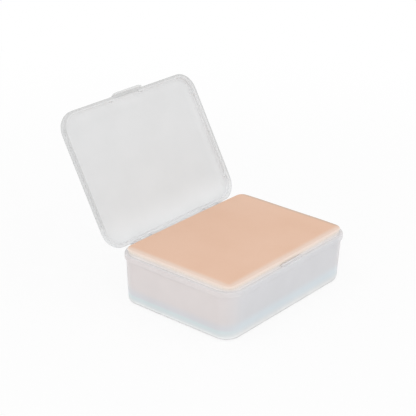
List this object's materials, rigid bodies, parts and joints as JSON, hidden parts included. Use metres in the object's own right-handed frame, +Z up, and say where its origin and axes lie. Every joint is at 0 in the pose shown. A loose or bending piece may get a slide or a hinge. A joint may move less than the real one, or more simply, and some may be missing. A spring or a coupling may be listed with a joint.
{
  "type": "wet palette",
  "caption": "Hinged frosted plastic box holding a water reservoir sponge, a thick foam pad and a thin painting sheet, lid leaning open.",
  "frame": {"origin": "middle of the tray's flat underside, on the surface that the box stands on", "axes": "+X along the hinge, to the right seen from the front catch; +Y from the front catch towards the hinge; +Z up, out of the tray"},
  "size_m": [0.1, 0.1139, 0.0915],
  "materials": {
    "tray_plastic": "frosted, translucent moulded polypropylene",
    "lid_plastic": "frosted, translucent moulded polypropylene",
    "pin_steel": "drawn wire",
    "sponge": "fine-pored cellulose sponge",
    "foam": "fine-celled soft foam",
    "sheet": "matt, slightly waxy sheet"
  },
  "bodies": {
    "tray": {"base_tray": "tray_plastic", "hinge_pin_left": "pin_steel", "hinge_pin_right": "pin_steel", "reservoir_sponge": "sponge", "foam_pad": "foam", "palette_sheet": "sheet"},
    "lid": {"lid": "lid_plastic"}
  },
  "joints": [
    {"name": "lid_hinge", "type": "hinge", "parent": "tray", "child": "lid", "pos_m": [0, 0.03725, 0.02605], "axis": [1, 0, 0], "range_deg": [0, 119.5]}
  ]
}
